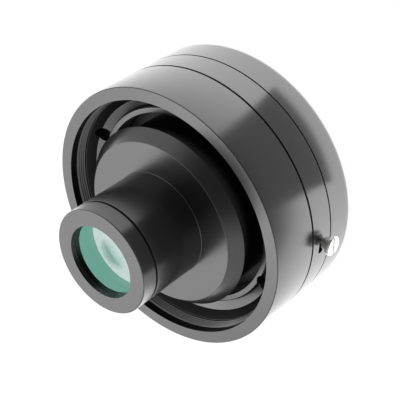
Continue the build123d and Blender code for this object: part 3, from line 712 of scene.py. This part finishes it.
# Floor, cards, lights and camera
def floor_material():
    """White to the camera apart from the object's soft shadow; to mirrors it glows with painted
    light, stronger near the part and towards the far side.
    """
    made = bpy.data.materials.new("studio_floor")
    made.use_nodes = True
    nodes, links = made.node_tree.nodes, made.node_tree.links
    nodes.clear()
    out = add(nodes, "OutputMaterial")
    plain = add(nodes, "BsdfDiffuse", Color=(0.85, 0.85, 0.85, 1))
    glow = add(nodes, "Emission", Strength=1.16)
    seen = add(nodes, "MixShader", Fac=0.8)
    links.new(plain.outputs["BSDF"], seen.inputs[1])
    links.new(glow.outputs["Emission"], seen.inputs[2])
    # Painted light: the glow seen only in mirrors falls from 2.05 near the part to 1.0 further out
    # and rises by up to 1.2 towards the far side
    mirrored = add(nodes, "Emission")
    coords = add(nodes, "TexCoord")
    away = add(nodes, "VectorMath", operation="LENGTH")
    links.new(coords.outputs["Object"], away.inputs[0])
    near, far = (45 * MM, 2.05), (66 * MM, 1.0)
    fall = add(nodes, "MapRange", From_Min=near[0], From_Max=far[0], To_Min=near[1], To_Max=far[1])
    links.new(away.outputs["Value"], fall.inputs["Value"])
    behind = add(nodes, "VectorMath", operation="DOT_PRODUCT")
    far_side = radians(245)
    behind.inputs[1].default_value = (cos(far_side), sin(far_side), 0)
    links.new(coords.outputs["Object"], behind.inputs[0])
    rise = add(nodes, "MapRange", From_Min=25 * MM, From_Max=50 * MM, To_Min=0.0, To_Max=1.2)
    links.new(behind.outputs["Value"], rise.inputs["Value"])
    total = add(nodes, "Math", operation="ADD")
    links.new(fall.outputs["Result"], total.inputs[0])
    links.new(rise.outputs["Result"], total.inputs[1])
    links.new(total.outputs["Value"], mirrored.inputs["Strength"])
    path = add(nodes, "LightPath")
    clear = add(nodes, "Math", operation="MAXIMUM")
    links.new(path.outputs["Is Camera Ray"], clear.inputs[0])
    links.new(path.outputs["Is Transmission Ray"], clear.inputs[1])
    first = add(nodes, "MixShader")
    links.new(clear.outputs["Value"], first.inputs["Fac"])
    links.new(plain.outputs["BSDF"], first.inputs[1])
    links.new(seen.outputs["Shader"], first.inputs[2])
    second = add(nodes, "MixShader")
    links.new(path.outputs["Is Glossy Ray"], second.inputs["Fac"])
    links.new(first.outputs["Shader"], second.inputs[1])
    links.new(mirrored.outputs["Emission"], second.inputs[2])
    links.new(second.outputs["Shader"], out.inputs["Surface"])
    return made


def make_floor_plane():
    size = 4000.0
    points, faces = box_points((-size, -size, -20), (size, size, -0.02))
    ground = piece("studio_floor", points, faces)
    ground.data.materials.append(floor_material())


def make_painted_shade_card():
    """Painted shade: a dim card on the floor before the part, which only mirrors see, standing for
    the floor's shade there.

    Along each of its edges' radii it runs from a start angle to an end angle, and the start
    angle falls with the radius, so that the card widens away from the part.
    """
    radii = np.array([36.0, 52.0, 62.0, 260.0])[None, :]
    start = np.radians([17.0, 15.0, -20.0, -22.0])[None, :]
    end, count = radians(69.0), 40
    k = np.linspace(0, 1, count)[:, None]
    a = start + (end - start) * k
    points = np.stack([radii * np.cos(a), radii * np.sin(a), 0.3 + 0 * a], -1)
    card = piece("painted_shade_card", points, grid_faces(count, 4, False, False).tolist())
    dark, nodes, links, shader = material(
        "painted_shade_card", Base_Color=(0.0, 0.0, 0.0, 1), Roughness=0.9, Emission_Color=(1, 1, 1, 1)
    )
    coords = add(nodes, "TexCoord")
    away = add(nodes, "VectorMath", operation="LENGTH")
    links.new(coords.outputs["Object"], away.inputs[0])
    # Painted shade with a weak painted glow: 0.38 near the part, falling to 0.12 further out, sets
    # how dark the floor looks in mirrors
    fall = add(nodes, "MapRange", From_Min=58 * MM, From_Max=66 * MM, To_Min=0.38, To_Max=0.12)
    links.new(away.outputs["Value"], fall.inputs["Value"])
    links.new(fall.outputs["Result"], shader.inputs["Emission Strength"])
    card.data.materials.append(dark)
    card.visible_camera = False
    card.visible_diffuse = False
    card.visible_shadow = False
    card.visible_transmission = False


def make_softbox(name, azimuth, elevation, distance, width, height, power):
    """Area light that looks at the part from an azimuth and an elevation."""
    data = bpy.data.lights.new(name, "AREA")
    data.shape = "RECTANGLE"
    data.size, data.size_y = width, height
    data.energy = power
    lamp = bpy.data.objects.new(name, data)
    a, e = radians(azimuth), radians(elevation)
    spot = Vector((cos(a) * cos(e), sin(a) * cos(e), sin(e))) * distance
    lamp.location = spot + Vector((0, 0, 0.02))
    lamp.rotation_euler = spot.to_track_quat("Z", "Y").to_euler()
    bpy.context.scene.collection.objects.link(lamp)


def make_world():
    """White to the camera, a plain grey to mirrors, darker low down on the camera's side.

    The share of a direction on that side is its dot product with the camera's azimuth.
    """
    world = bpy.data.worlds.new("studio")
    bpy.context.scene.world = world
    world.use_nodes = True
    nodes, links = world.node_tree.nodes, world.node_tree.links
    shade = nodes["Background"]
    shade.inputs["Color"].default_value = (1, 1, 1, 1)
    path = add(nodes, "LightPath")
    clear = add(nodes, "Math", operation="MAXIMUM")
    links.new(path.outputs["Is Camera Ray"], clear.inputs[0])
    links.new(path.outputs["Is Transmission Ray"], clear.inputs[1])
    coords = add(nodes, "TexCoord")
    side = add(nodes, "VectorMath", operation="DOT_PRODUCT")
    azimuth = radians(CAMERA_AZIMUTH)
    side.inputs[1].default_value = (cos(azimuth), sin(azimuth), 0)
    links.new(coords.outputs["Generated"], side.inputs[0])
    mirrored = add(nodes, "MapRange", From_Min=0.3, From_Max=0.65, To_Min=0.6, To_Max=0.05)
    links.new(side.outputs["Value"], mirrored.inputs["Value"])
    plain = add(nodes, "MapRange", To_Min=0.6)
    links.new(path.outputs["Is Glossy Ray"], plain.inputs["Value"])
    links.new(mirrored.outputs["Result"], plain.inputs["To Max"])
    level = add(nodes, "MapRange", To_Max=1.0)
    links.new(clear.outputs["Value"], level.inputs["Value"])
    links.new(plain.outputs["Result"], level.inputs["To Min"])
    links.new(level.outputs["Result"], shade.inputs["Strength"])


def make_camera():
    data = bpy.data.cameras.new("camera")
    data.lens = 99.6
    data.clip_start = 0.01
    camera = bpy.data.objects.new("camera", data)
    right = Vector((0.77010, -0.00063, -0.63792))
    up = Vector((-0.35990, 0.82522, -0.43529))
    back = right.cross(up)
    spot = Vector((0.1315, 0.1396, 0.1731))
    axes = Matrix((right, up, back)).transposed().to_4x4()
    camera.matrix_world = Matrix.Translation(spot) @ axes
    bpy.context.scene.collection.objects.link(camera)
    bpy.context.scene.camera = camera


make_floor_plane()
make_painted_shade_card()
make_softbox("key", 208.0, 43.0, 0.5, 0.5, 0.5, 0.66)
make_softbox("strip", 226.7, 55.0, 0.5, 0.4, 0.14, 0.22)
make_world()
make_camera()
bpy.context.scene.view_settings.view_transform = "Standard"
